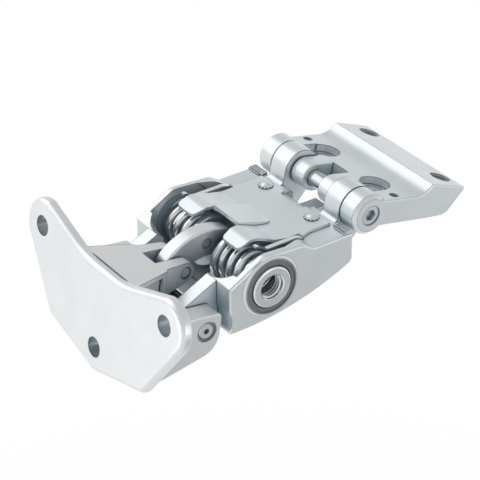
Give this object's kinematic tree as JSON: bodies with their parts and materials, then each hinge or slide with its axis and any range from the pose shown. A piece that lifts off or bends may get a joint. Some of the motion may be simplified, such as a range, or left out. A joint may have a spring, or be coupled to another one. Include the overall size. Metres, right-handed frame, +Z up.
{
  "type": "vehicle door hinge",
  "caption": "Cast door hinge with a bolt-on plate, a sprung check arm housing under a folded cover, and a swinging rear wing.",
  "frame": {"origin": "midway between the two upper holes of the mounting plate, on its front face", "axes": "+X along the hinge axis, +Y from the mounting plate towards the rear wing, +Z up, square to the flat top of the housing"},
  "size_m": [0.1148, 0.1668, 0.0585],
  "materials": {
    "bracket_casting": "satin zinc plate on a casting",
    "housing_casting": "satin zinc plate on a casting",
    "wing_casting": "satin zinc plate on a casting",
    "arm_steel": "satin ground steel",
    "pin_steel": "turned steel",
    "sleeve_steel": "dark drawn steel",
    "bush_bronze": "plain bearing metal",
    "cover_sheet": "zinc plated sheet",
    "spring_wire": "bright spring wire",
    "plunger_steel": "turned steel",
    "plug_steel": "turned and plated steel",
    "ring_polymer": "warm grey moulded ring",
    "strip_steel": "bright spring strip"
  },
  "bodies": {
    "bracket": {"mount_bracket": "bracket_casting", "check_arm_pin": "pin_steel", "pivot_axle": "pin_steel", "pivot_spacer": "sleeve_steel"},
    "check_arm": {"check_arm": "arm_steel", "check_arm_bush": "bush_bronze"},
    "housing": {"housing": "housing_casting", "spring_cover": "cover_sheet", "pivot_bush_left": "bush_bronze", "pivot_bush_right": "bush_bronze", "knuckle_bush_left": "bush_bronze", "knuckle_bush_right": "bush_bronze", "cover_rivet_left": "cover_sheet", "cover_rivet_right": "cover_sheet", "detent_spring_left": "spring_wire", "detent_spring_right": "spring_wire", "spring_plug_left": "plug_steel", "spring_plug_right": "plug_steel", "plug_ring_left": "ring_polymer", "plug_ring_right": "ring_polymer", "retainer_strip_left": "strip_steel", "retainer_strip_right": "strip_steel", "corner_stop_left": "strip_steel", "corner_stop_right": "strip_steel"},
    "plunger_left": {"plunger_left": "plunger_steel"},
    "plunger_right": {"plunger_right": "plunger_steel"},
    "wing": {"wing_bracket": "wing_casting", "hinge_axle": "pin_steel", "axle_plug_left": "plug_steel", "axle_plug_right": "plug_steel", "axle_screw_left": "plug_steel", "axle_screw_right": "plug_steel"}
  },
  "joints": [
    {"name": "housing_hinge", "type": "hinge", "parent": "bracket", "child": "housing", "pos_m": [0, 0.02731, -0.01995], "axis": [1, 0, 0], "range_deg": [-35, 10]},
    {"name": "check_arm_pivot", "type": "hinge", "parent": "bracket", "child": "check_arm", "pos_m": [0, 0.03371, -0.00724], "axis": [1, 0, 0], "range_deg": [-16, 5]},
    {"name": "plunger_slide_left", "type": "slide", "parent": "housing", "child": "plunger_left", "axis": [-1, 0, 0], "range_m": [0, 0.0012], "stiffness_N_per_m": 2000, "springref_m": -0.002, "deforming": ["detent_spring_left"]},
    {"name": "plunger_slide_right", "type": "slide", "parent": "housing", "child": "plunger_right", "axis": [1, 0, 0], "range_m": [0, 0.0012], "stiffness_N_per_m": 2000, "springref_m": -0.002, "deforming": ["detent_spring_right"]},
    {"name": "wing_hinge", "type": "hinge", "parent": "housing", "child": "wing", "pos_m": [0, 0.10976, 0.00446], "axis": [1, 0, 0], "range_deg": [-30, 70]}
  ],
  "couplings": [
    {"joint": "check_arm_pivot", "follows": "housing_hinge", "ratio": 0.45}
  ]
}
